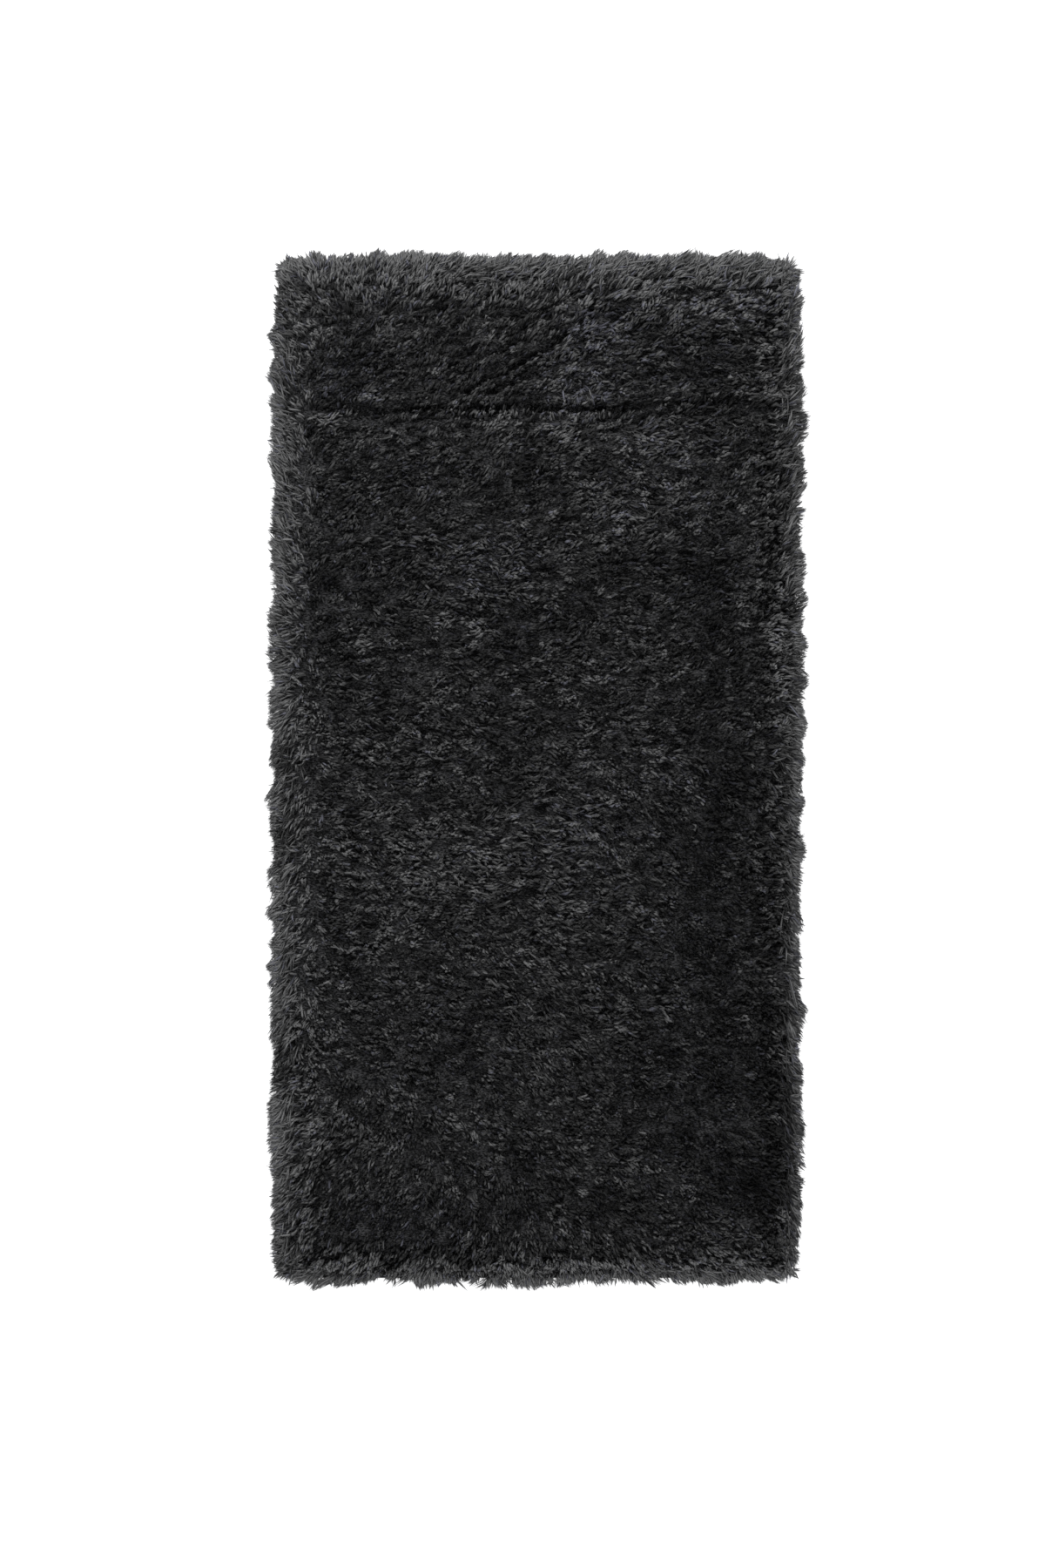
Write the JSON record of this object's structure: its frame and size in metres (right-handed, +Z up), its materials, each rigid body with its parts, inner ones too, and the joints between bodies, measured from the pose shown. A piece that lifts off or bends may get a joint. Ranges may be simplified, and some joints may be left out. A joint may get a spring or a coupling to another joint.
{
  "type": "shag rug",
  "caption": "Rectangular charcoal shag rug lying flat: a ground cloth under long lumpy pile that ends in pointed locks all round its rim, with a fold mark across its head end.",
  "frame": {"origin": "middle of the rug's underside, which lies on the floor", "axes": "+Z up out of the pile, +Y along the rug's length to its head, +X across it to its right side"},
  "size_m": [0.7652, 1.4636, 0.0463],
  "materials": {
    "charcoal_pile": "matt long pile of soft charcoal yarn"
  },
  "bodies": {
    "root": {"shag_rug": "charcoal_pile"}
  },
  "joints": []
}
